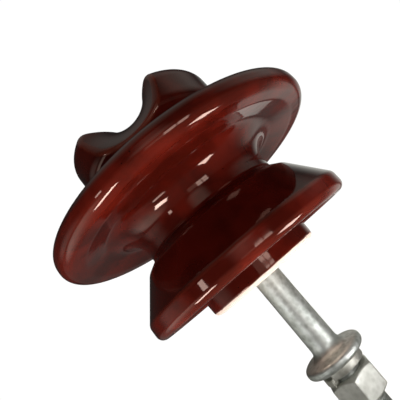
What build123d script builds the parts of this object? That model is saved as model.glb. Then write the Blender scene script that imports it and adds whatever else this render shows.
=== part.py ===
from build123d import *

import os
from math import asin, cos, radians, sin, tan

# Two-shed porcelain pin insulator on a galvanised steel pin, with the nut and spring
# washer that clamp the pin to a crossarm.
# Frame: millimetres, +Z up from the stud to the head. The origin is on the pin's axis, in
# the flat underside of the pin's collar, which is the face that sits on the crossarm.
# The conductor groove across the head runs along Y.

# --- steel pin -----------------------------------------------------------------------
pin_diameter = 16.0            # shank and stud, M16
stud_length = 42.0             # threaded stud below the collar
stud_chamfer = 1.6             # lead-in chamfer at the stud's free end
collar_diameter = 35.2
collar_edge_height = 4.6       # height of the collar at its rounded edge
collar_edge_radius = 2.1
collar_flare_height = 1.6      # rise of the collar's top from its edge to the shank
collar_flare_radius = 5.0      # fillet from the collar's top into the shank
shank_length = 50.4            # from the collar's top edge to the porcelain's base
embedded_length = 62.0         # pin held in the cement
grip_groove_count = 4          # ring grooves that key the pin into the cement
grip_groove_pitch = 12.0
grip_groove_radius = 2.2
grip_groove_depth = 1.4
pin_tip_chamfer = 2.0

# --- spring washer and nut -----------------------------------------------------------
washer_inner_radius = 8.3
washer_section = 4.1           # square wire of the washer
washer_rise = 3.2              # how far one end stands above the other
washer_gap_deg = 9.0           # opening at the split
washer_split_deg = -128.0      # where the split lies, from +X
nut_across_flats = 24.0
nut_height = 14.8
nut_chamfer_deg = 30.0
nut_turn_deg = -27.5           # a corner of the hexagon, from +X
nut_bearing_circle = 22.6      # diameter of the flat bearing face inside the chamfer
bore_countersink = 0.9

# --- clearances ----------------------------------------------------------------------
seat_clearance = 0.1           # collar to washer, and washer to nut
thread_clearance = 0.05        # radial, nut bore over the stud

# --- porcelain body, heights above its unglazed base ---------------------------------
boss_radius = 35.2
boss_base_radius = 34.4
boss_edge_radius = 3.2
recess_ceiling = 22.0          # ceiling of the drip recess inside the lower shed
recess_outer_radius = 52.5
recess_fillet = 6.0
lower_shed_radius = 64.2
lower_lip_bottom = 8.6
lower_lip_height = 9.6
lower_lip_width = 8.8
lower_lip_radius = 4.2
shoulder_radius = 49.6
shoulder_height = 38.6
shoulder_fillet = 4.0
waist_radius = 42.4
waist_height = 43.4
waist_fillet = 3.5
upper_flare_fillet = 14.0      # sweep from the waist into the upper shed's underside
upper_shed_radius = 83.0
upper_lip_bottom = 60.0
upper_lip_height = 11.2
upper_lip_width = 11.0
upper_lip_radius = 5.4
upper_lip_inner_radius = 9.0
underside_rise = 7.0           # the underside climbs this much from the lip to the waist
crown_rise = 8.8               # the upper shed's top, from its lip to the foot of the head
crown_foot_radius = 47.0
crown_foot_fillet = 4.0
tie_groove_radius = 39.0       # radius left at the bottom of the side tie groove
tie_groove_bevel = 3.5         # rise of each slanting side of the tie groove
tie_groove_width = 7.0
tie_groove_fillet = 4.5
head_radius = 47.4
head_lower_fillet = 8.0
head_depth = 24.0              # from the head's lower edge to its flat top
head_edge_radius = 9.0

# --- conductor groove across the head ------------------------------------------------
groove_radius = 12.2
groove_depth = 6.2             # from the head's top to the groove's floor
groove_straight = 12.0         # length of the plain middle stretch
groove_mouth_spread = 31.0     # the mouths open by this much, to both sides and down
groove_edge_radius = 2.2

# --- pin hole and its filling --------------------------------------------------------
hole_radius = 15.5
hole_top_radius = 13.5
hole_depth = 74.0
hole_top_fillet = 5.0
cement_recess = 1.2            # the cement stops short of the porcelain's base
pad_thickness = 3.0            # soft pad on the pin's tip

# --- derived places ------------------------------------------------------------------
pin_radius = pin_diameter / 2
collar_top = collar_edge_height + collar_flare_height
base_z = collar_edge_height + shank_length
tip_z = base_z + embedded_length
washer_height = washer_section + washer_rise
washer_top = -seat_clearance
nut_top = washer_top - washer_height - seat_clearance
nut_bottom = nut_top - nut_height
upper_lip_top = upper_lip_bottom + upper_lip_height
crown_foot_height = upper_lip_top + crown_rise
tie_groove_bottom = crown_foot_height + tie_groove_bevel
tie_groove_top = tie_groove_bottom + tie_groove_width
head_lower_edge = tie_groove_top + tie_groove_bevel
head_height = head_lower_edge + head_depth
head_top = base_z + head_height
groove_floor = head_top - groove_depth
groove_axis_z = groove_floor + groove_radius


def turned(corners):
    """Turn a closed half outline of (radius, height, fillet) corners about Z."""
    points = [(radius, 0, height) for radius, height, _ in corners]
    fillets = [rounding for _, _, rounding in corners]
    outline = FilletPolyline(*points, radius=fillets, close=True)
    return revolve(make_face(outline), Axis.Z)


def porcelain_profile():
    """Half outline of the whole fired body, from the base up to the head."""
    lower_lip_top = lower_lip_bottom + lower_lip_height
    lower_lip_inner = lower_shed_radius - lower_lip_width
    upper_lip_inner = upper_shed_radius - upper_lip_width
    boss = [
        (0, 0, 0),
        (boss_base_radius, 0, boss_edge_radius),
        (boss_radius, recess_ceiling, recess_fillet),
    ]
    lower_shed = [
        (recess_outer_radius, recess_ceiling, recess_fillet),
        (lower_lip_inner, lower_lip_bottom, lower_lip_radius),
        (lower_shed_radius, lower_lip_bottom, lower_lip_radius),
        (lower_shed_radius, lower_lip_top, lower_lip_radius),
        (shoulder_radius, shoulder_height, shoulder_fillet),
        (waist_radius, waist_height, waist_fillet),
    ]
    upper_shed = [
        (waist_radius, upper_lip_bottom + underside_rise, upper_flare_fillet),
        (upper_lip_inner, upper_lip_bottom, upper_lip_inner_radius),
        (upper_shed_radius, upper_lip_bottom, upper_lip_radius),
        (upper_shed_radius, upper_lip_top, upper_lip_radius),
        (crown_foot_radius, crown_foot_height, crown_foot_fillet),
    ]
    head = [
        (tie_groove_radius, tie_groove_bottom, tie_groove_fillet),
        (tie_groove_radius, tie_groove_top, tie_groove_fillet),
        (head_radius, head_lower_edge, head_lower_fillet),
        (head_radius, head_height, head_edge_radius),
        (0, head_height, 0),
    ]
    return [(r, z + base_z, rounding) for r, z, rounding in boss + lower_shed + upper_shed + head]


def groove_tool():
    """Solid that cuts the conductor groove, flaring from its middle to both mouths."""
    half = groove_straight / 2
    reach = head_radius + groove_edge_radius
    run = reach - half
    flare_radius = (run**2 + groove_mouth_spread**2) / (2 * groove_mouth_spread)
    turn = asin(run / flare_radius)

    def flare_point(angle):
        spread = flare_radius * (1 - cos(angle))
        return (groove_radius + spread, half + flare_radius * sin(angle))

    wall = ThreePointArc(flare_point(0), flare_point(turn / 2), flare_point(turn))
    edges = Line((groove_radius, 0), (groove_radius, half)) + wall
    edges += Line(flare_point(turn), (0, reach))
    edges += Line((0, reach), (0, 0))
    edges += Line((0, 0), (groove_radius, 0))
    quarter = make_face(edges)
    plan = quarter + mirror(quarter, Plane.XZ)
    trumpet = revolve(plan, Axis.Y)
    slot = extrude(plan + mirror(plan, Plane.YZ), groove_depth)
    return Pos(0, 0, groove_axis_z) * (trumpet + slot)


def hole_profile():
    """Half outline of the blind pin hole in the boss, narrowing upwards."""
    return [
        (0, base_z, 0),
        (hole_radius, base_z, 0),
        (hole_top_radius, base_z + hole_depth, hole_top_fillet),
        (0, base_z + hole_depth, 0),
    ]


def make_porcelain_body():
    """Head, two sheds and boss, thrown and turned as one piece and glazed."""
    body = turned(porcelain_profile()) - groove_tool()
    body = fillet(groove_lips(body), groove_edge_radius)
    return body - turned(hole_profile())


def groove_lips(body):
    """Edges where the conductor groove runs out through the head's skin."""
    tool = groove_tool()
    skin = turned(porcelain_profile())
    return [edge for edge in body.edges() if lies_on_both(edge, tool, skin)]


def lies_on_both(edge, tool, skin):
    """True where an edge's middle lies on the cutting tool and on the head's skin."""
    middle = Vertex(*(edge @ 0.5))
    near = 0.001
    on_tool = min(face.distance_to(middle) for face in tool.faces()) < near
    on_skin = min(face.distance_to(middle) for face in skin.faces()) < near
    return on_tool and on_skin


def make_steel_pin():
    """Forged pin: grooved grip, shank, flared collar and the stud below it."""
    shank_end = tip_z - pin_tip_chamfer
    profile = [
        (0, -stud_length, 0),
        (pin_radius - stud_chamfer, -stud_length, 0),
        (pin_radius, -stud_length + stud_chamfer, 0),
        (pin_radius, 0, 0),
        (collar_diameter / 2, 0, collar_edge_radius),
        (collar_diameter / 2, collar_edge_height, collar_edge_radius),
        (pin_radius, collar_top, collar_flare_radius),
        (pin_radius, shank_end, 0),
        (pin_radius - pin_tip_chamfer, tip_z, 0),
        (0, tip_z, 0),
    ]
    pin = turned(profile)
    ring_radius = pin_radius + grip_groove_radius - grip_groove_depth
    first = base_z + grip_groove_pitch
    for index in range(grip_groove_count):
        height = first + index * grip_groove_pitch
        pin -= Pos(0, 0, height) * Torus(ring_radius, grip_groove_radius)
    return pin


def make_tip_pad():
    """Soft disc that keeps the pin's tip off the bottom of the hole."""
    disc = Cylinder(pin_radius - pin_tip_chamfer, pad_thickness)
    return Pos(0, 0, tip_z + pad_thickness / 2) * disc


def make_cement_filling(pin, pad):
    """Cement that fills the hole around the pin, the grip grooves and the pad."""
    filling = turned(hole_profile()) - pin - pad
    mouth = Pos(0, 0, base_z + cement_recess / 2) * Cylinder(hole_radius + 1, cement_recess)
    return filling - mouth


def make_spring_washer():
    """One open turn of square wire, its two ends a rise apart."""
    sweep_deg = 360 - washer_gap_deg
    middle_radius = washer_inner_radius + washer_section / 2
    pitch = washer_rise * 360 / sweep_deg
    path = Helix(pitch, washer_rise, middle_radius, lefthand=True)
    square = Rectangle(washer_section, washer_section)
    section = Plane(path @ 0, x_dir=(1, 0, 0), z_dir=(0, -1, 0)) * square
    ring = sweep(section, path, is_frenet=True)
    low_end = washer_top - washer_height + washer_section / 2
    return Pos(0, 0, low_end) * Rot(0, 0, washer_split_deg - washer_gap_deg / 2) * ring


def make_hex_nut():
    """Hexagon nut, chamfered on both faces, over the stud."""
    hexagon = RegularPolygon(nut_across_flats / 2, 6, major_radius=False)
    prism = extrude(Rot(0, 0, nut_turn_deg) * hexagon, nut_height)
    corner_radius = nut_across_flats / 2 / cos(radians(30))
    face_radius = nut_bearing_circle / 2
    drop = (corner_radius - face_radius) * tan(radians(nut_chamfer_deg))
    envelope = turned(
        [
            (0, 0, 0),
            (face_radius, 0, 0),
            (corner_radius, drop, 0),
            (corner_radius, nut_height - drop, 0),
            (face_radius, nut_height, 0),
            (0, nut_height, 0),
        ]
    )
    bore_radius = pin_radius + thread_clearance
    mouth_radius = bore_radius + bore_countersink
    bore = turned(
        [
            (0, 0, 0),
            (mouth_radius, 0, 0),
            (bore_radius, bore_countersink, 0),
            (bore_radius, nut_height - bore_countersink, 0),
            (mouth_radius, nut_height, 0),
            (0, nut_height, 0),
        ]
    )
    return Pos(0, 0, nut_bottom) * ((prism & envelope) - bore)


def main():
    """Build every piece and write it under its own name."""
    os.makedirs("parts", exist_ok=True)
    pin = make_steel_pin()
    pad = make_tip_pad()
    pieces = {
        "porcelain_body": make_porcelain_body(),
        "cement_filling": make_cement_filling(pin, pad),
        "pin_tip_pad": pad,
        "steel_pin": pin,
        "spring_washer": make_spring_washer(),
        "hex_nut": make_hex_nut(),
    }
    for name, piece in pieces.items():
        export_step(piece, f"parts/{name}.step")


main()
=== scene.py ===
import enum
import logging
import math
from dataclasses import dataclass
from functools import partial
from typing import Callable, Dict, List, Optional, Sequence, Tuple, Union

import bpy
import numpy as np
from mathutils import Matrix, Vector


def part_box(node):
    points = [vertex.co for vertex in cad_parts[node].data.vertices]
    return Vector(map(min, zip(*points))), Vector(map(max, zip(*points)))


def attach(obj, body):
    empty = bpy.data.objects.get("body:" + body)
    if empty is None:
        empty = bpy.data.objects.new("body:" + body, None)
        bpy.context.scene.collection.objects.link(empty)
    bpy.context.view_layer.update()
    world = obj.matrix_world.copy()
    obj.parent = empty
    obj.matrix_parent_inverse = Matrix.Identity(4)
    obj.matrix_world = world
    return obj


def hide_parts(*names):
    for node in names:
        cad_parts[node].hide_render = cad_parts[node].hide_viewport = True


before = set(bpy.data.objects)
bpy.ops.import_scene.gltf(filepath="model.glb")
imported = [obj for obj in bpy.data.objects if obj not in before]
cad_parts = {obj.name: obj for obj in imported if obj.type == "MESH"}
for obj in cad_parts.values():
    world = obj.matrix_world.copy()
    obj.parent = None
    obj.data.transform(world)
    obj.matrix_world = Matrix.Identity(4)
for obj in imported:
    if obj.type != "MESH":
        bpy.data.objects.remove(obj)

logging.basicConfig(level=logging.INFO, format="%(name)s: %(message)s")
log = logging.getLogger("pin_insulator")

MM = 0.001

SHARP_EDGE = math.radians(40)
SOFT = {"interpolation_type": "SMOOTHSTEP"}

Spot = Tuple[float, float, float]
Corner = Tuple[float, float, float]
Colour = Tuple[float, float, float, float]
Value = Union[float, Colour, bpy.types.NodeSocket, bpy.types.Node]
Inputs = Dict[Union[str, int], object]
Sockets = bpy.types.bpy_prop_collection
Adder = Callable[..., bpy.types.Node]


class Body(enum.Enum):
    """Moving groups of the frame."""

    INSULATOR = "insulator"
    WASHER = "washer"
    NUT = "nut"


class Slot(enum.Enum):
    """Material slots of the record."""

    GLAZE = "brown_glaze"
    CEMENT = "portland_cement"
    CORK = "cork_pad"
    PIN = "galvanised_steel"
    WASHER = "galvanised_washer"
    NUT = "galvanised_nut"


def lowest(node: str) -> float:
    """Height of a CAD node's lowest point in the row's frame, in mm."""
    return round(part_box(node)[0][2] / MM, 3)


def highest(node: str) -> float:
    """Height of a CAD node's highest point in the row's frame, in mm."""
    return round(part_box(node)[1][2] / MM, 3)


# ------------------------------------------------------------------ outlines and forms


class Outline:
    """Closed outline in the half plane of radius and height, with true arcs at its corners."""

    ARC_STEP = 0.45
    NEAR = 1e-6

    def __init__(self, corners: Sequence[Corner]) -> None:
        """Lay the stretches and arcs.

        Args:
            corners: (radius, height, rounding) of each corner in mm, in order.
        """
        points = np.array([(r, z) for r, z, _ in corners], dtype=float)
        following = np.roll(points, -1, axis=0)
        area = np.sum(points[:, 0] * following[:, 1] - following[:, 0] * points[:, 1]) / 2
        self.winding = 1.0 if area > 0 else -1.0
        self.stretches: List[Tuple[np.ndarray, np.ndarray]] = []
        self.arcs: List[Tuple[np.ndarray, float, np.ndarray, float, float]] = []
        self.path: List[np.ndarray] = []
        count = len(points)
        entries, exits = [], []
        for i in range(count):
            entry, leave = self._round(points[i - 1], points[i], points[(i + 1) % count], corners[i][2])
            entries.append(entry)
            exits.append(leave)
        for i in range(count):
            start, end = exits[i], entries[(i + 1) % count]
            on_axis = abs(start[0]) < self.NEAR and abs(end[0]) < self.NEAR
            if np.linalg.norm(end - start) > self.NEAR and not on_axis:
                self.stretches.append((start, end))

    def _round(
        self, before: np.ndarray, corner: np.ndarray, after: np.ndarray, rounding: float
    ) -> Tuple[np.ndarray, np.ndarray]:
        """Lay the arc of one corner.

        Args:
            before: the corner before it.
            corner: the corner that is rounded.
            after: the corner after it.
            rounding: radius of the arc in mm.

        Returns:
            Where the arc starts and where it ends.
        """
        if rounding <= 0:
            self.path.append(corner)
            return corner, corner
        back = (before - corner) / np.linalg.norm(before - corner)
        ahead = (after - corner) / np.linalg.norm(after - corner)
        half = math.acos(float(np.clip(back @ ahead, -1, 1))) / 2
        if half > math.pi / 2 - 1e-4:
            self.path.append(corner)
            return corner, corner
        reach = rounding / math.tan(half)
        middle = (back + ahead) / np.linalg.norm(back + ahead)
        centre = corner + middle * rounding / math.sin(half)
        turn = (-back[0]) * ahead[1] - (-back[1]) * ahead[0]
        bulge = 1.0 if turn * self.winding > 0 else -1.0
        span = math.pi / 2 - half
        self.arcs.append((centre, rounding, -middle, span, bulge))
        steps = max(2, int(2 * span * rounding / self.ARC_STEP))
        first = corner + back * reach - centre
        for i in range(steps + 1):
            angle = (2 * span * i / steps) * (1 if turn > 0 else -1)
            c, s = math.cos(angle), math.sin(angle)
            self.path.append(centre + np.array([c * first[0] - s * first[1], s * first[0] + c * first[1]]))
        return corner + back * reach, corner + ahead * reach

    def distance(self, radius: np.ndarray, height: np.ndarray) -> np.ndarray:
        """Signed distance to the outline, negative inside.

        Args:
            radius: distances from the axis in mm.
            height: heights in mm.

        Returns:
            One signed distance in mm for each point.
        """
        best = np.full(radius.shape, 1e9)
        signed = np.zeros(radius.shape)
        for start, end in self.stretches:
            along = end - start
            length = np.linalg.norm(along)
            along = along / length
            dr, dz = radius - start[0], height - start[1]
            t = np.clip(dr * along[0] + dz * along[1], 0, length)
            away = np.hypot(dr - t * along[0], dz - t * along[1])
            side = (dr * along[1] - dz * along[0]) * self.winding
            # where two stretches are equally near, the one that faces the point decides
            rank = away - self.NEAR * np.abs(side)
            nearer = rank < best
            best = np.where(nearer, rank, best)
            signed = np.where(nearer, np.copysign(away, side), signed)
        for centre, rounding, middle, span, bulge in self.arcs:
            dr, dz = radius - centre[0], height - centre[1]
            out = np.hypot(dr, dz) + 1e-12
            within = (dr * middle[0] + dz * middle[1]) / out >= math.cos(span)
            side = (out - rounding) * bulge
            rank = np.abs(side) * (1 - self.NEAR)
            nearer = within & (rank < best)
            best = np.where(nearer, rank, best)
            signed = np.where(nearer, side, signed)
        return signed


def rounded_cut(first: np.ndarray, second: np.ndarray, rounding: float) -> np.ndarray:
    """Intersection of two forms with its crest rounded off.

    Args:
        first: signed distances to one form, in mm.
        second: signed distances to the other.
        rounding: radius of the crest in mm.

    Returns:
        Signed distances to what both forms share.
    """
    u = np.maximum(first + rounding, 0)
    v = np.maximum(second + rounding, 0)
    return np.minimum(np.maximum(first, second), -rounding) + np.hypot(u, v)


@dataclass(frozen=True)
class PorcelainForm:
    """Sizes of the fired body in mm; heights are above its unglazed base."""

    base: float = lowest("porcelain_body")
    boss_radius: float = 35.2
    boss_base_radius: float = 34.4
    boss_edge: float = 3.2
    recess_ceiling: float = 22.0
    recess_radius: float = 52.5
    recess_fillet: float = 6.0
    lower_radius: float = 64.2
    lower_lip_bottom: float = 8.6
    lower_lip_top: float = 18.2
    lower_lip_inner: float = 55.4
    lower_lip_fillet: float = 4.2
    shoulder: Corner = (49.6, 38.6, 4.0)
    waist_radius: float = 42.4
    waist_height: float = 43.4
    waist_fillet: float = 3.5
    underside_height: float = 67.0
    underside_fillet: float = 14.0
    upper_radius: float = 83.0
    upper_lip_bottom: float = 60.0
    upper_lip_top: float = 71.2
    upper_lip_inner: float = 72.0
    upper_lip_inner_fillet: float = 9.0
    upper_lip_fillet: float = 5.4
    crown_foot: Corner = (47.0, 80.0, 4.0)
    tie_radius: float = 39.0
    tie_bottom: float = 83.5
    tie_top: float = 90.5
    tie_fillet: float = 4.5
    head_radius: float = 47.4
    head_lower_edge: float = 94.0
    head_lower_fillet: float = 8.0
    head_height: float = 118.0
    head_edge: float = 9.0
    hole_radius: float = 15.5
    hole_top_radius: float = 13.5
    hole_depth: float = 74.0
    hole_fillet: float = 5.0
    hole_mouth_fillet: float = 0.6
    groove_radius: float = 12.2
    groove_depth: float = 6.2
    groove_straight: float = 12.0
    groove_spread: float = 31.0
    groove_edge: float = 2.2

    def corners(self) -> List[Corner]:
        """Corners of the turned outline, the pin hole included.

        Returns:
            (radius, height, rounding) of each corner in mm.
        """
        local = [
            (self.hole_radius, 0, self.hole_mouth_fillet),
            (self.boss_base_radius, 0, self.boss_edge),
            (self.boss_radius, self.recess_ceiling, self.recess_fillet),
            (self.recess_radius, self.recess_ceiling, self.recess_fillet),
            (self.lower_lip_inner, self.lower_lip_bottom, self.lower_lip_fillet),
            (self.lower_radius, self.lower_lip_bottom, self.lower_lip_fillet),
            (self.lower_radius, self.lower_lip_top, self.lower_lip_fillet),
            self.shoulder,
            (self.waist_radius, self.waist_height, self.waist_fillet),
            (self.waist_radius, self.underside_height, self.underside_fillet),
            (self.upper_lip_inner, self.upper_lip_bottom, self.upper_lip_inner_fillet),
            (self.upper_radius, self.upper_lip_bottom, self.upper_lip_fillet),
            (self.upper_radius, self.upper_lip_top, self.upper_lip_fillet),
            self.crown_foot,
            (self.tie_radius, self.tie_bottom, self.tie_fillet),
            (self.tie_radius, self.tie_top, self.tie_fillet),
            (self.head_radius, self.head_lower_edge, self.head_lower_fillet),
            (self.head_radius, self.head_height, self.head_edge),
            (0, self.head_height, 0),
            (0, self.hole_depth, 0),
            (self.hole_top_radius, self.hole_depth, self.hole_fillet),
        ]
        return [(r, z + self.base, rounding) for r, z, rounding in local]

    def groove(self, points: np.ndarray) -> np.ndarray:
        """How deep points lie inside the conductor groove's opening.

        Args:
            points: points in mm.

        Returns:
            One depth in mm for each point, negative outside the opening.
        """
        half = self.groove_straight / 2
        reach = self.head_radius + self.groove_edge
        run = reach - half
        flare = (run**2 + self.groove_spread**2) / (2 * self.groove_spread)
        along = np.abs(points[:, 1])
        out = np.clip(along - half, 0, run)
        drop = np.sqrt(flare**2 - out**2)
        width = self.groove_radius + flare - drop
        lean = np.cos(np.arctan2(out, drop))
        axis = self.base + self.head_height - self.groove_depth + self.groove_radius
        below = np.minimum(points[:, 2] - axis, 0)
        inside = (width - np.hypot(points[:, 0], below)) * lean
        return np.minimum(inside, reach - along)

    def distance_function(self) -> Callable[[np.ndarray], np.ndarray]:
        """Signed distance to the whole glazed body.

        Returns:
            A function from points in mm to signed distances in mm.
        """
        outline = Outline(self.corners())

        def distance(points: np.ndarray) -> np.ndarray:
            """Turned body less its groove."""
            turned = outline.distance(np.hypot(points[:, 0], points[:, 1]), points[:, 2])
            return rounded_cut(turned, self.groove(points), self.groove_edge)

        return distance


@dataclass(frozen=True)
class NutForm:
    """Sizes of the hexagon nut in mm; heights are in the row's frame."""

    bottom: float = lowest("hex_nut")
    top: float = highest("hex_nut")
    across_flats: float = 24.0
    corner_turn: float = -27.5
    bearing_circle: float = 22.6
    chamfer: float = 30.0
    bore_radius: float = 8.05
    countersink: float = 0.9
    edge_wear: float = 0.45
    face_wear: float = 0.3
    bore_wear: float = 0.2

    def distance_function(self) -> Callable[[np.ndarray], np.ndarray]:
        """Signed distance to the chamfered nut with softly worn edges.

        Returns:
            A function from points in mm to signed distances in mm.
        """
        corner = self.across_flats / 2 / math.cos(math.radians(30))
        face = self.bearing_circle / 2
        drop = (corner - face) * math.tan(math.radians(self.chamfer))
        mouth = self.bore_radius + self.countersink
        outline = Outline(
            [
                (mouth, self.bottom, self.bore_wear),
                (face, self.bottom, self.face_wear),
                (corner, self.bottom + drop, 0),
                (corner, self.top - drop, 0),
                (face, self.top, self.face_wear),
                (mouth, self.top, self.bore_wear),
                (self.bore_radius, self.top - self.countersink, self.bore_wear),
                (self.bore_radius, self.bottom + self.countersink, self.bore_wear),
            ]
        )
        flats = [math.radians(self.corner_turn + 30 + 60 * k) for k in range(6)]

        def distance(points: np.ndarray) -> np.ndarray:
            """Turned blank cut to a hexagon.

            Args:
                points: points in mm.

            Returns:
                One signed distance in mm for each point.
            """
            turned = outline.distance(np.hypot(points[:, 0], points[:, 1]), points[:, 2])
            hexagon = np.full(len(points), -1e9)
            for angle in flats:
                side = points[:, 0] * math.cos(angle) + points[:, 1] * math.sin(angle)
                hexagon = np.maximum(hexagon, side - self.across_flats / 2)
            return rounded_cut(turned, hexagon, self.edge_wear)

        return distance


@dataclass(frozen=True)
class PinForm:
    """Sizes of the forged pin in mm; heights are in the row's frame."""

    radius: float = 8.0
    core_radius: float = 6.78
    thread_pitch: float = 2.0
    stud_end: float = lowest("steel_pin")
    thread_end: float = 2.4
    plain_neck: float = 1.2
    collar_radius: float = 17.6
    collar_edge_height: float = 4.6
    collar_edge_radius: float = 2.1
    collar_top: float = 6.2
    collar_flare: float = 5.0
    tip: float = highest("steel_pin")
    tip_chamfer: float = 2.0
    stud_chamfer: float = 0.7
    edge_wear: float = 0.3
    bend_wear: float = 0.4

    def corners(self) -> List[Corner]:
        """Corners of the turned outline, from the stud's end up to the tip.

        Returns:
            (radius, height, rounding) of each corner in mm.
        """
        core = self.core_radius
        return [
            (0, self.stud_end, 0),
            (core - self.stud_chamfer, self.stud_end, self.edge_wear),
            (core, self.stud_end + self.stud_chamfer, self.edge_wear),
            (core, -self.plain_neck - (self.radius - core), self.bend_wear),
            (self.radius, -self.plain_neck, self.edge_wear),
            (self.radius, 0, 0),
            (self.collar_radius, 0, self.collar_edge_radius),
            (self.collar_radius, self.collar_edge_height, self.collar_edge_radius),
            (self.radius, self.collar_top, self.collar_flare),
            (self.radius, self.tip - self.tip_chamfer, self.bend_wear),
            (self.radius - self.tip_chamfer, self.tip, self.bend_wear),
            (0, self.tip, 0),
        ]


# ------------------------------------------------------------------ mesh making


def plain_object(name: str, mesh: bpy.types.Mesh) -> bpy.types.Object:
    """Link a mesh as an object at the origin.

    Args:
        name: name of the object.
        mesh: its mesh.

    Returns:
        The new object.
    """
    obj = bpy.data.objects.new(name, mesh)
    bpy.context.scene.collection.objects.link(obj)
    return obj


def mesh_points(mesh: bpy.types.Mesh) -> np.ndarray:
    """Vertices of a mesh.

    Args:
        mesh: the mesh.

    Returns:
        One row of three coordinates in mm for each vertex.
    """
    flat = np.empty(len(mesh.vertices) * 3)
    mesh.vertices.foreach_get("co", flat)
    return flat.reshape(-1, 3) / MM


def evaluated_copy(obj: bpy.types.Object, name: str) -> bpy.types.Mesh:
    """Plain mesh of an object as its modifiers leave it.

    Args:
        obj: the object.
        name: name of the new mesh.

    Returns:
        The new mesh.
    """
    graph = bpy.context.evaluated_depsgraph_get()
    mesh = bpy.data.meshes.new_from_object(obj.evaluated_get(graph), depsgraph=graph)
    mesh.name = name
    return mesh


@dataclass(frozen=True)
class FormedSkin:
    """A fine, even skin over a CAD node, laid exactly on a smooth form.

    Attributes:
        node: name of the CAD node.
        distance: signed distance of the form, in mm.
        spacing: distance between neighbouring vertices in mm.
        weld: distance in mm within which the CAD mesh's loose corners are joined.
        passes: how often the vertices are moved onto the form.
        probe: half the span in mm over which the way to the form is measured.
        normal_probe: the same for the normals.
        crest_probe: the same for how sharp a crest is.
    """

    node: str
    distance: Callable[[np.ndarray], np.ndarray]
    spacing: float
    weld: float = 0.002
    passes: int = 5
    probe: float = 0.02
    normal_probe: float = 0.05
    crest_probe: float = 1.0

    def slope(self, points: np.ndarray, step: float) -> np.ndarray:
        """Gradient of the form's distance.

        Args:
            points: points in mm.
            step: half the span it is measured over, in mm.

        Returns:
            One gradient for each point.
        """
        parts = []
        for axis in range(3):
            shift = np.zeros(3)
            shift[axis] = step
            parts.append((self.distance(points + shift) - self.distance(points - shift)) / (2 * step))
        return np.stack(parts, axis=1)

    def bend(self, points: np.ndarray, step: float) -> np.ndarray:
        """How sharply the form is rounded outwards.

        Args:
            points: points in mm.
            step: half the span it is measured over, in mm.

        Returns:
            One bend for each point, in 1/mm.
        """
        middle = self.distance(points)
        total = np.zeros(len(points))
        for axis in range(3):
            shift = np.zeros(3)
            shift[axis] = step
            total += self.distance(points + shift) + self.distance(points - shift) - 2 * middle
        return total / step**2

    def build(self, name: str) -> bpy.types.Object:
        """Wrap the node, pull the skin onto the form and set its normals.

        Args:
            name: name of the new object.

        Returns:
            The finished object.
        """
        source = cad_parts[self.node]
        start = source.data.copy()
        helper = plain_object(name + "_start", start)
        weld = helper.modifiers.new("weld", "WELD")
        weld.merge_threshold = self.weld * MM
        wrap = helper.modifiers.new("wrap", "REMESH")
        wrap.mode = "VOXEL"
        wrap.voxel_size = self.spacing * MM
        mesh = evaluated_copy(helper, name)
        bpy.data.objects.remove(helper)
        bpy.data.meshes.remove(start)
        mesh.materials.clear()
        points = mesh_points(mesh)
        for _ in range(self.passes):
            away = self.distance(points)
            slope = self.slope(points, self.probe)
            square = np.maximum((slope**2).sum(axis=1), 0.2)
            move = np.clip(away / square, -self.spacing, self.spacing)
            points = points - slope * move[:, None]
        mesh.vertices.foreach_set("co", (points * MM).ravel())
        normals = self.slope(points, self.normal_probe)
        normals /= np.linalg.norm(normals, axis=1)[:, None] + 1e-9
        mesh.polygons.foreach_set("use_smooth", np.ones(len(mesh.polygons), dtype=bool))
        mesh.update()
        mesh.normals_split_custom_set_from_vertices(normals.tolist())
        crest = mesh.attributes.new("crest", "FLOAT", "POINT")
        crest.data.foreach_set("value", self.bend(points, self.crest_probe).astype(np.float32))
        upward = mesh.attributes.new("upward", "FLOAT", "POINT")
        upward.data.foreach_set("value", normals[:, 2].astype(np.float32))
        miss = np.abs(self.distance(points)).max()
        log.info("%s: largest distance from its form %.3f mm", name, miss)
        return plain_object(name, mesh)


def turned_mesh(name: str, path: Sequence[np.ndarray], segments: int) -> bpy.types.Mesh:
    """Turn an outline that starts and ends on the axis into a closed mesh.

    Args:
        name: name of the mesh.
        path: (radius, height) points in mm, from the lower pole to the upper.
        segments: facets around.

    Returns:
        The mesh, its faces pointing outwards.
    """
    rings = [p for p in path if p[0] > 1e-6]
    low, high = path[0][1], path[-1][1]
    turns = np.arange(segments) * 2 * math.pi / segments
    points = [(r * math.cos(t), r * math.sin(t), z) for r, z in rings for t in turns]
    points += [(0, 0, low), (0, 0, high)]
    south, north = len(points) - 2, len(points) - 1
    faces: List[Tuple[int, ...]] = []
    for row in range(len(rings) - 1):
        for k in range(segments):
            a, b = row * segments + k, row * segments + (k + 1) % segments
            faces.append((a, b, b + segments, a + segments))
    top = (len(rings) - 1) * segments
    for k in range(segments):
        faces.append((south, (k + 1) % segments, k))
        faces.append((north, top + k, top + (k + 1) % segments))
    mesh = bpy.data.meshes.new(name)
    mesh.from_pydata([tuple(c * MM for c in p) for p in points], [], faces)
    mesh.update()
    mesh.polygons.foreach_set("use_smooth", np.ones(len(mesh.polygons), dtype=bool))
    mesh.set_sharp_from_angle(angle=SHARP_EDGE)
    return mesh


# ------------------------------------------------------------------ node trees


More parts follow.
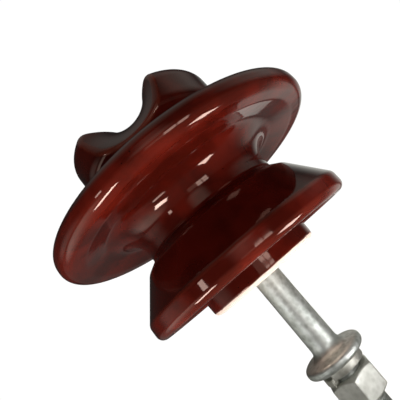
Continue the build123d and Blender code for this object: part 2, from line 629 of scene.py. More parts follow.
def add_node(
    tree: bpy.types.NodeTree,
    kind: str,
    inputs: Optional[Inputs] = None,
    **settings: object,
) -> bpy.types.Node:
    """Add a node, set its fields, and fill or link the sockets that it then shows.

    Args:
        tree: the tree to add to.
        kind: node type name.
        inputs: name or number of a shown socket to a value, or to the socket or node it is linked from.
        settings: fields of the node.

    Returns:
        The new node.
    """
    node = tree.nodes.new(kind)
    for key, value in settings.items():
        setattr(node, key, value)
    shown = [socket for socket in node.inputs if socket.enabled]
    for key, value in (inputs or {}).items():
        socket = shown[key] if isinstance(key, int) else next(s for s in shown if s.name == key)
        if isinstance(value, bpy.types.Node):
            value = next(s for s in value.outputs if s.enabled)
        if isinstance(value, bpy.types.NodeSocket):
            tree.links.new(value, socket)
        else:
            socket.default_value = value
    return node


@dataclass(frozen=True)
class Step:
    """Soft change from one value to another while something rises from low to high."""

    low: float
    high: float
    before: float = 0.0
    after: float = 1.0

    def sockets(self, value: Value) -> Inputs:
        """Sockets of a map range node that follows what rises."""
        bounds = {"From Min": self.low, "From Max": self.high}
        return {"Value": value, **bounds, "To Min": self.before, "To Max": self.after}


@dataclass(frozen=True)
class CoilSizes:
    """Sizes of something wound round the pin, in mm and degrees.

    Attributes:
        radius: from the axis to the middle of the section.
        start_height: height at which the coil starts.
        rise: how far it climbs.
        start_angle: where it starts, from +X.
        sweep: angle it turns through; negative is left-handed.
        foot_width: width of the section on its inner side.
        crest_width: width of the section on its outer side.
        depth: depth of the section, away from the axis.
        softness: rounding of the section's corners.
        steps: points along the coil.
        run_out: how far the start sinks towards the axis.
    """

    radius: float
    start_height: float
    rise: float
    start_angle: float
    sweep: float
    foot_width: float
    crest_width: float
    depth: float
    softness: float
    steps: int
    run_out: float = 0.0


class CoilTree:
    """Node tree that sweeps a section along a helix round Z."""

    FIELDS = (
        ("Radius", "radius", MM),
        ("Start Height", "start_height", MM),
        ("Rise", "rise", MM),
        ("Start Angle", "start_angle", math.pi / 180),
        ("Sweep", "sweep", math.pi / 180),
        ("Foot Width", "foot_width", MM),
        ("Crest Width", "crest_width", MM),
        ("Depth", "depth", MM),
        ("Softness", "softness", MM),
        ("Run Out", "run_out", MM),
    )
    RUN_OUT = Step(0.0, 0.04, 1.0, 0.0)
    SECTION_TURN = math.pi / 2
    CORNER_POINTS = 3
    SHARP_EDGE = math.radians(38)

    def __init__(self, name: str) -> None:
        """Make the tree and its sockets.

        Args:
            name: name of the tree.
        """
        self.tree = bpy.data.node_groups.new(name, "GeometryNodeTree")
        face = self.tree.interface
        face.new_socket("Geometry", in_out="INPUT", socket_type="NodeSocketGeometry")
        face.new_socket("Geometry", in_out="OUTPUT", socket_type="NodeSocketGeometry")
        for label, _, _ in self.FIELDS:
            face.new_socket(label, in_out="INPUT", socket_type="NodeSocketFloat")
        face.new_socket("Steps", in_out="INPUT", socket_type="NodeSocketInt")
        face.new_socket("Material", in_out="INPUT", socket_type="NodeSocketMaterial")
        add = partial(add_node, self.tree)
        given = add("NodeGroupInput").outputs
        wound = self._path(add, given)
        section = self._section(add, given)
        sweep = {"Curve": wound, "Profile Curve": section, "Fill Caps": True}
        swept = add("GeometryNodeCurveToMesh", sweep)
        whole = add("GeometryNodeRealizeInstances", {"Geometry": swept})
        painted = add("GeometryNodeSetMaterial", {"Geometry": whole, "Material": given["Material"]})
        add("NodeGroupOutput", {"Geometry": painted})

    def _path(self, add: Adder, given: Sockets) -> bpy.types.Node:
        """Wind the path that the section follows.

        Args:
            add: adds a node to the tree.
            given: the tree's named inputs.

        Returns:
            The node that gives the path.
        """
        line = add("GeometryNodeCurvePrimitiveLine")
        fine = add("GeometryNodeResampleCurve", {"Curve": line, "Count": given["Steps"]})
        share = add("GeometryNodeSplineParameter").outputs["Factor"]
        climb = {0: share, 1: given["Rise"], 2: given["Start Height"]}
        height = add("ShaderNodeMath", climb, operation="MULTIPLY_ADD")
        turning = {0: share, 1: given["Sweep"], 2: given["Start Angle"]}
        angle = add("ShaderNodeMath", turning, operation="MULTIPLY_ADD")
        near_start = add("ShaderNodeMapRange", self.RUN_OUT.sockets(share), **SOFT)
        sunk = add("ShaderNodeMath", {0: near_start, 1: given["Run Out"]}, operation="MULTIPLY")
        radius = add("ShaderNodeMath", {0: given["Radius"], 1: sunk}, operation="SUBTRACT")
        place: Inputs = {2: height}
        for axis, part in enumerate(("COSINE", "SINE")):
            share_of_radius = add("ShaderNodeMath", {0: angle}, operation=part)
            place[axis] = add("ShaderNodeMath", {0: radius, 1: share_of_radius}, operation="MULTIPLY")
        spot = add("ShaderNodeCombineXYZ", place)
        wound = add("GeometryNodeSetPosition", {"Geometry": fine, "Position": spot})
        return add("GeometryNodeSetCurveNormal", {"Curve": wound}, mode="Z_UP")

    def _section(self, add: Adder, given: Sockets) -> bpy.types.Node:
        """Draw the section, its foot towards the axis.

        Args:
            add: adds a node to the tree.
            given: the tree's named inputs.

        Returns:
            The node that gives the section.
        """
        sizes = {
            "Height": given["Depth"],
            "Bottom Width": given["Foot Width"],
            "Top Width": given["Crest Width"],
            "Offset": 0.0,
        }
        sharp = add("GeometryNodeCurvePrimitiveQuadrilateral", sizes, mode="TRAPEZOID")
        rounding = {"Curve": sharp, "Radius": given["Softness"], "Count": self.CORNER_POINTS}
        soft = add("GeometryNodeFilletCurve", rounding, mode="POLY")
        return add("GeometryNodeTransform", {"Geometry": soft, "Rotation": (0, 0, self.SECTION_TURN)})

    def build(self, name: str, sizes: CoilSizes, material: bpy.types.Material) -> bpy.types.Object:
        """Wind one coil and make it a plain mesh.

        Args:
            name: name of the object.
            sizes: sizes of the coil.
            material: its finish.

        Returns:
            The finished object.
        """
        helper = plain_object(name + "_path", bpy.data.meshes.new(name + "_path"))
        modifier = helper.modifiers.new("coil", "NODES")
        modifier.node_group = self.tree
        sockets = [item for item in self.tree.interface.items_tree if item.in_out == "INPUT"]
        keys = {item.name: item.identifier for item in sockets}
        for label, attribute, unit in self.FIELDS:
            modifier[keys[label]] = getattr(sizes, attribute) * unit
        modifier[keys["Steps"]] = sizes.steps
        modifier[keys["Material"]] = material
        mesh = evaluated_copy(helper, name)
        bpy.data.objects.remove(helper)
        mesh.polygons.foreach_set("use_smooth", np.ones(len(mesh.polygons), dtype=bool))
        mesh.set_sharp_from_angle(angle=self.SHARP_EDGE)
        points = mesh_points(mesh)
        spread = np.hypot(points[:, 0], points[:, 1])
        log.info("%s: radius %.2f to %.2f mm", name, spread.min(), spread.max())
        log.info("%s: height %.2f to %.2f mm", name, points[:, 2].min(), points[:, 2].max())
        return plain_object(name, mesh)


# ------------------------------------------------------------------ finishes


def linear(code: str, alpha: float = 1.0) -> Colour:
    """Scene-linear colour of an sRGB hex code.

    Args:
        code: colour as #rrggbb.
        alpha: opacity.

    Returns:
        Red, green, blue and alpha.
    """
    parts = [int(code[i : i + 2], 16) / 255 for i in (1, 3, 5)]
    r, g, b = [c / 12.92 if c <= 0.04045 else ((c + 0.055) / 1.055) ** 2.4 for c in parts]
    return (r, g, b, alpha)


class Pattern(enum.Enum):
    """Natural patterns, each by the node that draws it."""

    CLOUDS = "ShaderNodeTexNoise"
    CELLS = "ShaderNodeTexVoronoi"


class Coat:
    """A material being laid out on the piece's own coordinates."""

    def __init__(self, name: str) -> None:
        """Start an empty material.

        Args:
            name: name of the material.
        """
        self.material = bpy.data.materials.new(name)
        self.material.use_nodes = True
        self.material.node_tree.nodes.clear()
        self.add = partial(add_node, self.material.node_tree)
        self.place = self.add("ShaderNodeTexCoord").outputs["Object"]

    def pattern(
        self,
        kind: Pattern,
        grain: float,
        step: Optional[Step] = None,
        **sockets: float,
    ) -> bpy.types.Node:
        """Lay a pattern over the piece.

        Args:
            kind: clouds or cells.
            grain: size of its blotches or cells in mm.
            step: soft step that parts it into light and dark, if any.
            sockets: other inputs of the pattern.

        Returns:
            The node that gives it.
        """
        drawn = self.add(kind.value, {"Vector": self.place, "Scale": 1 / (grain * MM), **sockets})
        if step is None:
            return drawn
        return self.add("ShaderNodeMapRange", step.sockets(drawn), **SOFT)

    def layered(self, ground: str, *layers: Tuple[Value, Union[str, Value]]) -> bpy.types.Node:
        """Lay colours over one another.

        Args:
            ground: the lowest colour.
            layers: how much each colour covers, and the colour.

        Returns:
            The node that gives the colour on top.
        """
        colour: Value = linear(ground)
        for cover, over in layers:
            above = linear(over) if isinstance(over, str) else over
            sides = {"Factor": cover, "A": colour, "B": above}
            colour = self.add("ShaderNodeMix", sides, data_type="RGBA")
        return colour

    def finished(self, sockets: Inputs) -> bpy.types.Material:
        """Give the shader its sockets and close the material.

        Args:
            sockets: the shader's inputs.

        Returns:
            The finished material.
        """
        shader = self.add("ShaderNodeBsdfPrincipled", sockets)
        self.add("ShaderNodeOutputMaterial", {"Surface": shader})
        return self.material


@dataclass(frozen=True)
class GlazeFinish:
    """Brown feldspathic glaze over electrical porcelain, bare on the base it was fired on.

    Sizes, heights and grains are in mm; heights are in the row's frame.
    """

    # painted shade: the near-black colour laid on faces that look up
    painted_shade: str = "#240302"
    deep: str = "#3f0d07"
    warm: str = "#5c160d"
    thin: str = "#7a3526"
    iron: str = "#1c0604"
    sheen: str = "#ffd8c8"
    bare: str = "#fbeadf"
    bare_shade: str = "#e6cbbb"
    gloss: float = 0.06
    bare_matt: float = 0.7
    cloud_grain: float = 22.0
    clouding: Step = Step(0.38, 0.64)
    # painted shade: how far it spreads, by how much a face looks up
    painted_shade_step: Step = Step(0.1, 0.6, 0.0, 0.5)
    cresting: Step = Step(0.12, 0.55)
    thin_grain: float = 9.0
    thinning: Step = Step(0.3, 0.7, 0.45, 0.8)
    speck_spacing: float = 4.5
    speck_edge: Step = Step(0.05, 0.10, 1.0, 0.0)
    speck_rarity: Step = Step(0.56, 0.60)
    line_height: float = PorcelainForm.base + 2.2
    line_softness: float = 0.25
    line_wander: float = 0.7
    wander_grain: float = 6.0
    hole_edge: float = 17.0
    hole_edge_softness: float = 0.6
    hole_ceiling: float = PorcelainForm.base + PorcelainForm.hole_depth + 1.5
    hole_ceiling_softness: float = 0.5
    mottle_grain: float = 3.0
    peel_grain: float = 7.0
    peel_depth: float = 0.05
    grit_grain: float = 0.5
    grit_depth: float = 0.12

    def build(self) -> bpy.types.Material:
        """Lay out the material.

        Returns:
            The finished material.
        """
        # a glassy skin: nearly black on faces that look up, which is painted shade, foxy red where it
        # thins, a sharp mirror all over
        coat = Coat("brown porcelain glaze")
        add = coat.add
        clouds = coat.pattern(Pattern.CLOUDS, self.cloud_grain, self.clouding, Detail=4)
        # painted shade: faces that look up are darkened to nearly black, standing in for the shade they
        # lie in under light from below
        upward = add("ShaderNodeAttribute", attribute_name="upward").outputs["Fac"]
        soft_ramp = add("ShaderNodeMapRange", self.painted_shade_step.sockets(upward), **SOFT)
        # the melt draws back from sharp edges, so crests fire redder and lighter
        crest = add("ShaderNodeAttribute", attribute_name="crest").outputs["Fac"]
        edge = add("ShaderNodeMapRange", self.cresting.sockets(crest), **SOFT)
        patchy = coat.pattern(Pattern.CLOUDS, self.thin_grain, self.thinning, Detail=2)
        drawn = add("ShaderNodeMath", {0: edge, 1: patchy}, operation="MULTIPLY")
        # iron specks that bled through in the kiln
        dots = coat.pattern(Pattern.CELLS, self.speck_spacing, self.speck_edge)
        rare = coat.pattern(Pattern.CLOUDS, self.thin_grain, self.speck_rarity, Detail=1)
        specks = add("ShaderNodeMath", {0: dots, 1: rare}, operation="MULTIPLY")
        bare = self._bare(coat)
        mottle = coat.pattern(Pattern.CLOUDS, self.mottle_grain, Detail=4)
        # real orange peel is finer; it is drawn coarse enough to bend the reflections
        waves = coat.pattern(Pattern.CLOUDS, self.peel_grain, Detail=1)
        peel = add("ShaderNodeBump", {"Height": waves, "Distance": self.peel_depth * MM})
        # fired clay's own grit is finer; it is drawn coarse enough to show on the foot ring
        grit = coat.pattern(Pattern.CLOUDS, self.grit_grain, Detail=3)
        rough = add("ShaderNodeMath", {0: grit, 1: bare}, operation="MULTIPLY")
        skin = {"Height": rough, "Distance": self.grit_depth * MM, "Normal": peel}
        matt = Step(0.0, 1.0, self.gloss, self.bare_matt)
        return coat.finished(
            {
                "Base Color": coat.layered(
                    self.deep,
                    (clouds, self.warm),
                    # painted shade over faces that look up
                    (soft_ramp, self.painted_shade),
                    (drawn, self.thin),
                    (specks, self.iron),
                    (bare, coat.layered(self.bare_shade, (mottle, self.bare))),
                ),
                "Roughness": add("ShaderNodeMapRange", matt.sockets(bare), **SOFT),
                "Specular Tint": linear(self.sheen),
                "Normal": add("ShaderNodeBump", skin),
            }
        )

    def _bare(self, coat: Coat) -> bpy.types.Node:
        """Where no glaze lies: the foot ring, up to a wandering line, and the pin hole.

        Args:
            coat: the material.

        Returns:
            The node that gives it.
        """
        add = coat.add
        height = add("ShaderNodeSeparateXYZ", {0: coat.place}).outputs["Z"]
        drift = coat.pattern(Pattern.CLOUDS, self.wander_grain, Detail=2)
        swing = {0: drift, 1: self.line_wander * MM, 2: -self.line_wander * MM / 2}
        wander = add("ShaderNodeMath", swing, operation="MULTIPLY_ADD")
        wavy = add("ShaderNodeMath", {0: height, 1: wander}, operation="ADD")
        low = (self.line_height - self.line_softness) * MM
        high = (self.line_height + self.line_softness) * MM
        foot = add("ShaderNodeMapRange", Step(low, high, 1.0, 0.0).sockets(wavy), **SOFT)
        level = add("ShaderNodeVectorMath", {0: coat.place, 1: (1, 1, 0)}, operation="MULTIPLY")
        off_axis = add("ShaderNodeVectorMath", {0: level}, operation="LENGTH")
        wall = Step(self.hole_edge * MM, (self.hole_edge + self.hole_edge_softness) * MM, 1.0, 0.0)
        near = add("ShaderNodeMapRange", wall.sockets(off_axis), **SOFT)
        end = Step(self.hole_ceiling * MM, (self.hole_ceiling + self.hole_ceiling_softness) * MM, 1.0, 0.0)
        under = add("ShaderNodeMapRange", end.sockets(height), **SOFT)
        hole = add("ShaderNodeMath", {0: near, 1: under}, operation="MULTIPLY")
        return add("ShaderNodeMath", {0: foot, 1: hole}, operation="MAXIMUM")


@dataclass(frozen=True)
class ZincFinish:
    """Hot-dip zinc over forged steel, weathered; grains and depths are in mm."""

    name: str
    light: str = "#dcdfdb"
    dull: str = "#aeb2ac"
    stain: str = "#6f6b5c"
    gloss: float = 0.43
    matt: float = 0.56
    crystal: float = 3.0
    clouding: Step = Step(0.1, 0.9)
    crystal_edge: Step = Step(0.1, 0.6)
    crystal_floor: float = 0.4
    pit_spacing: float = 1.1
    pit_edge: Step = Step(0.05, 0.11, 1.0, 0.0)
    pit_patch: float = 4.0
    pit_rarity: Step = Step(0.56, 0.62)
    pit_depth: float = 0.06
    skin_grain: float = 1.2
    skin_depth: float = 0.012

    def build(self) -> bpy.types.Material:
        """Lay out the material.

        Returns:
            The finished material.
        """
        # dull silver-white with soft reflections, faint crystals, small dark pits and dross specks
        coat = Coat(self.name)
        add = coat.add
        clouds = coat.pattern(Pattern.CLOUDS, self.crystal * 2, self.clouding, Detail=5, Roughness=0.6)
        crystals = coat.pattern(Pattern.CELLS, self.crystal, self.crystal_edge)
        raised = add("ShaderNodeMath", {0: crystals, 1: self.crystal_floor}, operation="ADD")
        bloom = add("ShaderNodeMath", {0: clouds, 1: raised}, operation="MULTIPLY")
        dots = coat.pattern(Pattern.CELLS, self.pit_spacing, self.pit_edge)
        rare = coat.pattern(Pattern.CLOUDS, self.pit_patch, self.pit_rarity, Detail=2)
        pits = add("ShaderNodeMath", {0: dots, 1: rare}, operation="MULTIPLY")
        # the zinc's real skin is finer; it is drawn coarse enough to break up its reflections
        grain = coat.pattern(Pattern.CLOUDS, self.skin_grain, Detail=4)
        skin = add("ShaderNodeBump", {"Height": grain, "Distance": self.skin_depth * MM})
        pitted = {"Height": pits, "Distance": -self.pit_depth * MM, "Normal": skin}
        shine = Step(0.0, 1.0, self.matt, self.gloss)
        return coat.finished(
            {
                "Base Color": coat.layered(self.dull, (bloom, self.light), (pits, self.stain)),
                "Metallic": 1.0,
                "Roughness": add("ShaderNodeMapRange", shine.sockets(clouds), **SOFT),
                "Normal": add("ShaderNodeBump", pitted),
            }
        )


@dataclass(frozen=True)
class MortarFinish:
    """Set Portland cement mortar; grains and depths are in mm."""

    paste: str = "#8d887d"
    sand: str = "#b5ad9c"
    matt: float = 0.9
    sand_grain: float = 0.7
    sand_edge: Step = Step(0.15, 0.5)
    patch_grain: float = 5.0
    grit_grain: float = 0.8
    grit_depth: float = 0.2

    def build(self) -> bpy.types.Material:
        """Lay out the material.

        Returns:
            The finished material.
        """
        # sandy grey that drinks the light, with pale grains in patches
        coat = Coat("cement mortar")
        grains = coat.pattern(Pattern.CELLS, self.sand_grain, self.sand_edge)
        patches = coat.pattern(Pattern.CLOUDS, self.patch_grain, Detail=4)
        sand = coat.add("ShaderNodeMath", {0: grains, 1: patches}, operation="MULTIPLY")
        grit = coat.pattern(Pattern.CLOUDS, self.grit_grain, Detail=4)
        relief = {"Height": grit, "Distance": self.grit_depth * MM}
        return coat.finished(
            {
                "Base Color": coat.layered(self.paste, (sand, self.sand)),
                "Roughness": self.matt,
                "Normal": coat.add("ShaderNodeBump", relief),
            }
        )


@dataclass(frozen=True)
class CorkFinish:
    """Pressed cork granules; grains and depths are in mm."""

    granule: str = "#a57848"
    binder: str = "#5a3a20"
    matt: float = 0.85
    granule_size: float = 1.1
    seam_edge: Step = Step(0.25, 0.55)
    seam_depth: float = 0.1

    def build(self) -> bpy.types.Material:
        """Lay out the material.

        Returns:
            The finished material.
        """
        # dry brown granules with darker binder sunk between them
        coat = Coat("pressed cork")
        seam = coat.pattern(Pattern.CELLS, self.granule_size, self.seam_edge)
        relief = {"Height": seam, "Distance": -self.seam_depth * MM}
        return coat.finished(
            {
                "Base Color": coat.layered(self.granule, (seam, self.binder)),
                "Roughness": self.matt,
                "Normal": coat.add("ShaderNodeBump", relief),
            }
        )


# ------------------------------------------------------------------ the pieces


@dataclass(frozen=True)
class PorcelainBody:
    """Head, sheds and boss under one glaze."""

    form: PorcelainForm = PorcelainForm()
    spacing: float = 1.2
    quick_spacing: float = 2.4

    def build(self, glaze: bpy.types.Material) -> List[bpy.types.Object]:
        """Form the body, glaze it and let it stand for the CAD node.

        Args:
            glaze: its finish.

        Returns:
            The glazed body.
        """
        spacing = self.spacing
        skin = FormedSkin("porcelain_body", self.form.distance_function(), spacing)
        body = skin.build("glazed_porcelain")
        body.data.materials.append(glaze)
        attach(body, Body.INSULATOR.value)
        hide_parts("porcelain_body")
        return [body]


@dataclass(frozen=True)
class SteelPin:
    """Turned pin with its collar and the thread rolled on its stud, in mm and degrees."""

    form: PinForm = PinForm()
    segments: int = 160
    facet: float = 3.0
    ridge_foot: float = 1.86
    ridge_crest: float = 0.34
    ridge_softness: float = 0.1
    ridge_bite: float = 0.12
    ridge_run_out: float = 1.1
    ridge_start: float = 0.9
    ridge_start_angle: float = 20.0
    points_per_turn: int = 40

    def build(self, zinc: bpy.types.Material) -> List[bpy.types.Object]:
        """Make the pin and its thread and let them stand for the CAD node.

        Args:
            zinc: the finish of both.

        Returns:
            The pin and its thread.
        """
        outline = Outline(self.form.corners())
        turned = turned_mesh("pin_and_collar", self._fine(outline.path), self.segments)
        pin = plain_object("pin_and_collar", turned)
        pin.data.materials.append(zinc)
        thread = CoilTree("rolled thread").build("stud_thread", self._ridge(), zinc)
        for piece in (pin, thread):
            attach(piece, Body.INSULATOR.value)
        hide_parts("steel_pin")
        return [pin, thread]

    def _ridge(self) -> CoilSizes:
        """Sizes of the thread's ridge, which bites a little into the stud's core.

        Returns:
            The coil that it is wound as.
        """
        form = self.form
        length = -form.plain_neck - form.thread_end - form.stud_end
        depth = form.radius - form.core_radius + self.ridge_bite
        turns = length / form.thread_pitch
        return CoilSizes(
            radius=form.radius - depth / 2,
            start_height=form.stud_end + self.ridge_start,
            rise=length,
            start_angle=self.ridge_start_angle,
            sweep=360.0 * turns,
            foot_width=self.ridge_foot,
            crest_width=self.ridge_crest,
            depth=depth,
            softness=self.ridge_softness,
            steps=int(self.points_per_turn * turns),
            run_out=self.ridge_run_out,
        )

    def _fine(self, path: Sequence[np.ndarray]) -> List[np.ndarray]:
        """Split long stretches so that no facet is much longer than it is wide.

        Args:
            path: points of the outline.

        Returns:
            The same outline with more points.
        """
        fine = [path[0]]
        for point in path[1:]:
            start = fine[-1]
            steps = max(1, int(np.linalg.norm(point - start) / self.facet))
            fine += [start + (point - start) * k / steps for k in range(1, steps + 1)]
        return fine


@dataclass(frozen=True)
class SpringWasher:
    """One open turn of square wire, left-hand wound, in mm and degrees."""

    wire: float = 4.1
    radius: float = 10.35
    bottom: float = lowest("spring_washer")
    top: float = highest("spring_washer")
    start_angle: float = -132.5
    sweep: float = -351.0
    softness: float = 0.45
    points: int = 160

    def build(self, zinc: bpy.types.Material) -> List[bpy.types.Object]:
        """Wind the washer and let it stand for the CAD node.

        Args:
            zinc: its finish.

        Returns:
            The washer.
        """
        sizes = CoilSizes(
            radius=self.radius,
            start_height=self.bottom + self.wire / 2,
            rise=self.top - self.bottom - self.wire,
            start_angle=self.start_angle,
            sweep=self.sweep,
            foot_width=self.wire,
            crest_width=self.wire,
            depth=self.wire,
            softness=self.softness,
            steps=self.points,
        )
        washer = CoilTree("spring washer").build("split_washer", sizes, zinc)
        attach(washer, Body.WASHER.value)
        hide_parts("spring_washer")
        return [washer]


@dataclass(frozen=True)
class HexNut:
    """Hexagon nut with softly worn edges."""

    form: NutForm = NutForm()
    spacing: float = 0.3
    quick_spacing: float = 0.6

    def build(self, zinc: bpy.types.Material) -> List[bpy.types.Object]:
        """Form the nut and let it stand for the CAD node.

        Args:
            zinc: its finish.

        Returns:
            The nut.
        """
        spacing = self.spacing
        nut = FormedSkin("hex_nut", self.form.distance_function(), spacing).build("hexagon_nut")
        nut.data.materials.append(zinc)
        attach(nut, Body.NUT.value)
        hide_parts("hex_nut")
        return [nut]


@dataclass(frozen=True)
class HiddenPiece:
    """A piece inside the boss that keeps the CAD node's own mesh."""

    node: str
    slot: Slot

    def build(self, finish: bpy.types.Material) -> List[bpy.types.Object]:
        """Give the node its finish.

        Args:
            finish: the material it gets.

        Returns:
            The node.
        """
        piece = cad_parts[self.node]
        piece.data.materials.clear()
        piece.data.materials.append(finish)
        return [piece]


# ------------------------------------------------------------------ the studio


@dataclass(frozen=True)
class Panel:
    """A soft light panel, in mm, aimed at a point."""

    name: str
    place: Spot
    aim: Spot
    width: float
    height: float
    power: float
    colour: str = "#ffffff"
    beam: float = 180.0

    def build(self) -> bpy.types.Object:
        """Hang the panel.

        Returns:
            The light.
        """
        light = bpy.data.lights.new(self.name, "AREA")
        light.shape = "RECTANGLE"
        light.size = self.width * MM
        light.size_y = self.height * MM
        light.energy = self.power
        light.spread = math.radians(self.beam)
        light.color = linear(self.colour)[:3]
        obj = bpy.data.objects.new(self.name, light)
        obj.location = Vector(self.place) * MM
        aim = (Vector(self.aim) - Vector(self.place)).normalized()
        obj.rotation_mode = "QUATERNION"
        obj.rotation_quaternion = aim.to_track_quat("-Z", "Y")
        obj.visible_camera = False
        bpy.context.scene.collection.objects.link(obj)
        return obj


@dataclass(frozen=True)
class Glow:
    """A soft-edged bright region of the tent or the floor.

    Attributes:
        name: what it is.
        centre: its middle in the row's frame, in mm.
        reach: distance in mm over which it fades to nothing.
        strength: brightness in the middle.
        core: share of the reach that is fully bright.
    """

    name: str
    centre: Spot
    reach: float
    strength: float
    core: float = 0.25

    def added(self, add: Adder, place: bpy.types.NodeSocket, base: Value) -> bpy.types.Node:
        """Add this region to a brightness.

        Args:
            add: adds a node to the material.
            place: where the surface is, in metres.
            base: the brightness without it.

        Returns:
            The node that gives the brightness with it.
        """
        centre = tuple(c * MM for c in self.centre)
        away = add("ShaderNodeVectorMath", {0: place, 1: centre}, operation="DISTANCE")
        fade = Step(self.reach * self.core * MM, self.reach * MM, self.strength, 0.0)
        patch = add("ShaderNodeMapRange", fade.sockets(away), **SOFT)
        return add("ShaderNodeMath", {0: base, 1: patch}, operation="ADD")


FLOOR_LEVEL = lowest("steel_pin") - 0.6


@dataclass(frozen=True)
class Floor:
    """White paper just under the stud's end.

    The camera sees the paper. The glaze and the zinc mirror a dim floor with bright regions,
    and the underside catches light that is strongest near the stud.
    """

    height: float = FLOOR_LEVEL
    size: float = 2400.0
    paper: str = "#f4f4f2"
    lift: str = "#fffffe"
    lift_strength: float = 0.95
    mirrored: str = "#f2f3ec"
    mirrored_base: float = 0.12
    bounce: str = "#fff6ee"
    bounce_fade: Step = Step(0.10, 0.36, 1.5, 0.15)
    glows: Tuple[Glow, ...] = (
        Glow("floor at the left", (-400, -120, FLOOR_LEVEL), 320, 1.4),
        Glow("floor at the right", (260, 330, FLOOR_LEVEL), 330, 0.6),
        Glow("floor behind", (-100, 760, FLOOR_LEVEL), 300, 0.1),
    )

    def build(self) -> bpy.types.Object:
        """Lay the floor.

        Returns:
            The floor.
        """
        half, z = self.size / 2 * MM, self.height * MM
        corners = [(-half, -half, z), (half, -half, z), (half, half, z), (-half, half, z)]
        mesh = bpy.data.meshes.new("floor")
        mesh.from_pydata(corners, [], [(0, 1, 2, 3)])
        mesh.materials.append(self._material())
        obj = plain_object("floor", mesh)
        return obj

    def _material(self) -> bpy.types.Material:
        """Lay out the paper, which is clear from below.

        Returns:
            The finished material.
        """
        # plain white to the eye, and a grey sheet with bright regions in the mirror of the glaze
        coat = Coat("white paper floor")
        add = coat.add
        mirrored: Value = self.mirrored_base
        for glow in self.glows:
            mirrored = glow.added(add, coat.place, mirrored)
        spread = add("ShaderNodeVectorMath", {0: coat.place}, operation="LENGTH")
        soft_ramp = add("ShaderNodeMapRange", self.bounce_fade.sockets(spread), **SOFT)
        path = add("ShaderNodeLightPath").outputs
        paper = add("ShaderNodeBsdfDiffuse", {"Color": linear(self.paper)})
        lift = add("ShaderNodeEmission", {"Color": linear(self.lift), "Strength": self.lift_strength})
        seen = add("ShaderNodeAddShader", {0: paper, 1: lift})
        sheet = add("ShaderNodeEmission", {"Color": linear(self.mirrored), "Strength": mirrored})
        bounce = add("ShaderNodeEmission", {"Color": linear(self.bounce), "Strength": soft_ramp})
        inner = add("ShaderNodeMixShader", {0: path["Is Glossy Ray"], 1: bounce, 2: sheet})
        outer = add("ShaderNodeMixShader", {0: path["Is Camera Ray"], 1: inner, 2: seen})
        under = add("ShaderNodeNewGeometry").outputs["Backfacing"]
        clear = add("ShaderNodeBsdfTransparent")
        whole = add("ShaderNodeMixShader", {0: under, 1: outer, 2: clear})
        add("ShaderNodeOutputMaterial", {"Surface": whole})
        return coat.material


@dataclass(frozen=True)
class Tent:
    """White cotton tent over the object, brighter in some directions.

    The camera sees plain white. The glaze and the zinc mirror a dim tent with bright regions.
    """

    foot: float = FLOOR_LEVEL
    radius: float = 1100.0
    rows: int = 20
    panels: int = 48
    seen: str = "#ffffff"
    seen_strength: float = 1.02
    cotton: str = "#f2f3ec"
    base: float = 0.03
    glows: Tuple[Glow, ...] = (
        Glow("behind", (300, 1000, 200), 700, 0.7),
        Glow("overhead", (0, -150, 1045), 850, 0.34),
        Glow("right side", (880, 60, 600), 700, 0.5),
        Glow("left side", (-1080, -160, 40), 560, 0.42),
        Glow("ahead", (100, -1000, 330), 380, 0.8),
    )

    def build(self) -> bpy.types.Object:
        """Set the tent up.

        Returns:
            The tent.
        """
        mesh = bpy.data.meshes.new("tent")
        mesh.from_pydata(self._points(), [], self._faces())
        mesh.materials.append(self._material())
        obj = plain_object("tent", mesh)
        return obj

    def _points(self) -> List[Spot]:
        """Points of the half ball, from the top down.

        Returns:
            Places in metres.
        """
        reach, low = self.radius * MM, self.foot * MM
        points = [(0.0, 0.0, low + reach)]
        for row in range(1, self.rows + 1):
            tilt = math.pi / 2 * row / self.rows
            ring, height = reach * math.sin(tilt), low + reach * math.cos(tilt)
            turns = [2 * math.pi * k / self.panels for k in range(self.panels)]
            points += [(ring * math.cos(turn), ring * math.sin(turn), height) for turn in turns]
        return points

    def _faces(self) -> List[Tuple[int, ...]]:
        """Faces between the points.

        Returns:
            Numbers of each face's points.
        """
        count = self.panels
        faces: List[Tuple[int, ...]] = [(0, 1 + (k + 1) % count, 1 + k) for k in range(count)]
        for row in range(self.rows - 1):
            first = 1 + row * count
            for k in range(count):
                a, b = first + k, first + (k + 1) % count
                faces.append((a, b, b + count, a + count))
        return faces

    def _material(self) -> bpy.types.Material:
        """Lay out the cotton.

        Returns:
            The finished material.
        """
        # plain white to the eye, and dim cloth with bright regions in the mirror of the glaze
        coat = Coat("white cotton tent")
        add = coat.add
        total: Value = self.base
        for glow in self.glows:
            total = glow.added(add, coat.place, total)
        path = add("ShaderNodeLightPath").outputs
        seen = add("ShaderNodeEmission", {"Color": linear(self.seen), "Strength": self.seen_strength})
        lit = add("ShaderNodeEmission", {"Color": linear(self.cotton), "Strength": total})
        cloth = add("ShaderNodeMixShader", {0: path["Is Camera Ray"], 1: lit, 2: seen})
        add("ShaderNodeOutputMaterial", {"Surface": cloth})
        return coat.material


@dataclass(frozen=True)
class Room:
    """White background, a dim room in the reflections and a soft fill."""

    white: str = "#ffffff"
    room: str = "#d8d4cc"
    room_strength: float = 0.08
    fill: str = "#f4f2ee"
    fill_strength: float = 0.05

    def build(self) -> bpy.types.World:
        """Set the world.

        Returns:
            The world.
        """
        world = bpy.data.worlds.new("studio")
        bpy.context.scene.world = world
        world.use_nodes = True
        world.node_tree.nodes.clear()
        add = partial(add_node, world.node_tree)
        path = add("ShaderNodeLightPath").outputs
        white = add("ShaderNodeBackground", {"Color": linear(self.white), "Strength": 1.0})
        room = add("ShaderNodeBackground", {"Color": linear(self.room), "Strength": self.room_strength})
        fill = add("ShaderNodeBackground", {"Color": linear(self.fill), "Strength": self.fill_strength})
        inner = add("ShaderNodeMixShader", {0: path["Is Glossy Ray"], 1: fill, 2: room})
        outer = add("ShaderNodeMixShader", {0: path["Is Camera Ray"], 1: inner, 2: white})
        add("ShaderNodeOutputWorld", {"Surface": outer})
        return world


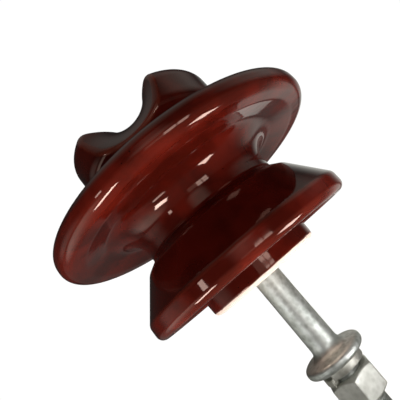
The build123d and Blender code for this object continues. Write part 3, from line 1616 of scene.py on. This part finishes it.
@dataclass(frozen=True)
class CameraStand:
    """Close camera, level with the lower shed, rolled and looking up at the head; the eye is in mm."""

    eye: Spot = (21.6, -200.3, 60.4)
    forward: Spot = (-0.052, 0.977, 0.2067)
    up: Spot = (0.6634, -0.1209, 0.7384)
    lens: float = 31.95
    sensor: float = 36.0
    shift: Tuple[float, float] = (-0.0633, -0.004)

    def build(self) -> bpy.types.Object:
        """Stand the camera.

        Returns:
            The camera.
        """
        data = bpy.data.cameras.new("camera")
        data.sensor_width = self.sensor
        data.lens = self.lens
        data.shift_x, data.shift_y = self.shift
        data.clip_start, data.clip_end = 0.01, 10.0
        data.dof.use_dof = False
        forward = Vector(self.forward).normalized()
        up = Vector(self.up)
        up = (up - forward * up.dot(forward)).normalized()
        turn = Matrix((forward.cross(up), up, -forward)).transposed()
        obj = bpy.data.objects.new("camera", data)
        obj.matrix_world = Matrix.Translation(Vector(self.eye) * MM) @ turn.to_4x4()
        bpy.context.scene.collection.objects.link(obj)
        bpy.context.scene.camera = obj
        return obj


@dataclass(frozen=True)
class Studio:
    """Paper floor, cotton tent, light panels and camera."""

    floor: Floor = Floor()
    tent: Tent = Tent()
    room: Room = Room()
    stand: CameraStand = CameraStand()
    panels: Tuple[Panel, ...] = (
        Panel("low right panel", (88, -76, -38), (10, -60, 110), 56, 60, 0.115, beam=136),
        Panel("low left panel", (-125, -145, -34), (-15, -60, 110), 84, 42, 0.05, beam=76),
        Panel("window pane, upper left", (118, -360, 62), (0, 0, 110), 54, 46, 0.042),
        Panel("window pane, upper right", (178, -340, 62), (0, 0, 110), 54, 46, 0.042),
        Panel("window pane, lower left", (118, -360, 10), (0, 0, 110), 54, 46, 0.042),
        Panel("window pane, lower right", (178, -340, 10), (0, 0, 110), 54, 46, 0.042),
        Panel("left window", (-235, -315, 95), (0, 0, 105), 40, 60, 0.06),
        Panel("large soft key", (120, -420, -20), (0, 0, 90), 260, 160, 0.10, "#fff0e4"),
    )

    def build(self) -> None:
        """Set up the whole studio."""
        self.floor.build()
        self.tent.build()
        self.room.build()
        for panel in self.panels:
            panel.build()
        self.stand.build()
        bpy.context.scene.view_settings.view_transform = "Standard"


def save_size() -> None:
    """Bring the view layer up to date.
    """
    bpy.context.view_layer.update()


def main() -> None:
    """Build every piece over the frame and report it, then set up the studio."""
    save_size()
    spring_zinc = {"light": "#d8d7cf", "dull": "#b0aea4", "gloss": 0.4}
    nut_zinc = {"light": "#ecece6", "dull": "#d2d2ca", "stain": "#a8a498", "gloss": 0.5, "matt": 0.62}
    work = (
        (PorcelainBody(), GlazeFinish()),
        (SteelPin(), ZincFinish("hot-dip zinc")),
        (SpringWasher(), ZincFinish("zinc on spring steel", **spring_zinc)),
        (HexNut(), ZincFinish("zinc on the nut", **nut_zinc)),
        (HiddenPiece("cement_filling", Slot.CEMENT), MortarFinish()),
        (HiddenPiece("pin_tip_pad", Slot.CORK), CorkFinish()),
    )
    for maker, finish in work:
        for piece in maker.build(finish.build()):
            coat = piece.data.materials[0].name
            log.info("%s: %d faces in %s", piece.name, len(piece.data.polygons), coat)
    Studio().build()
    save_size()


if __name__ == "__main__":
    main()
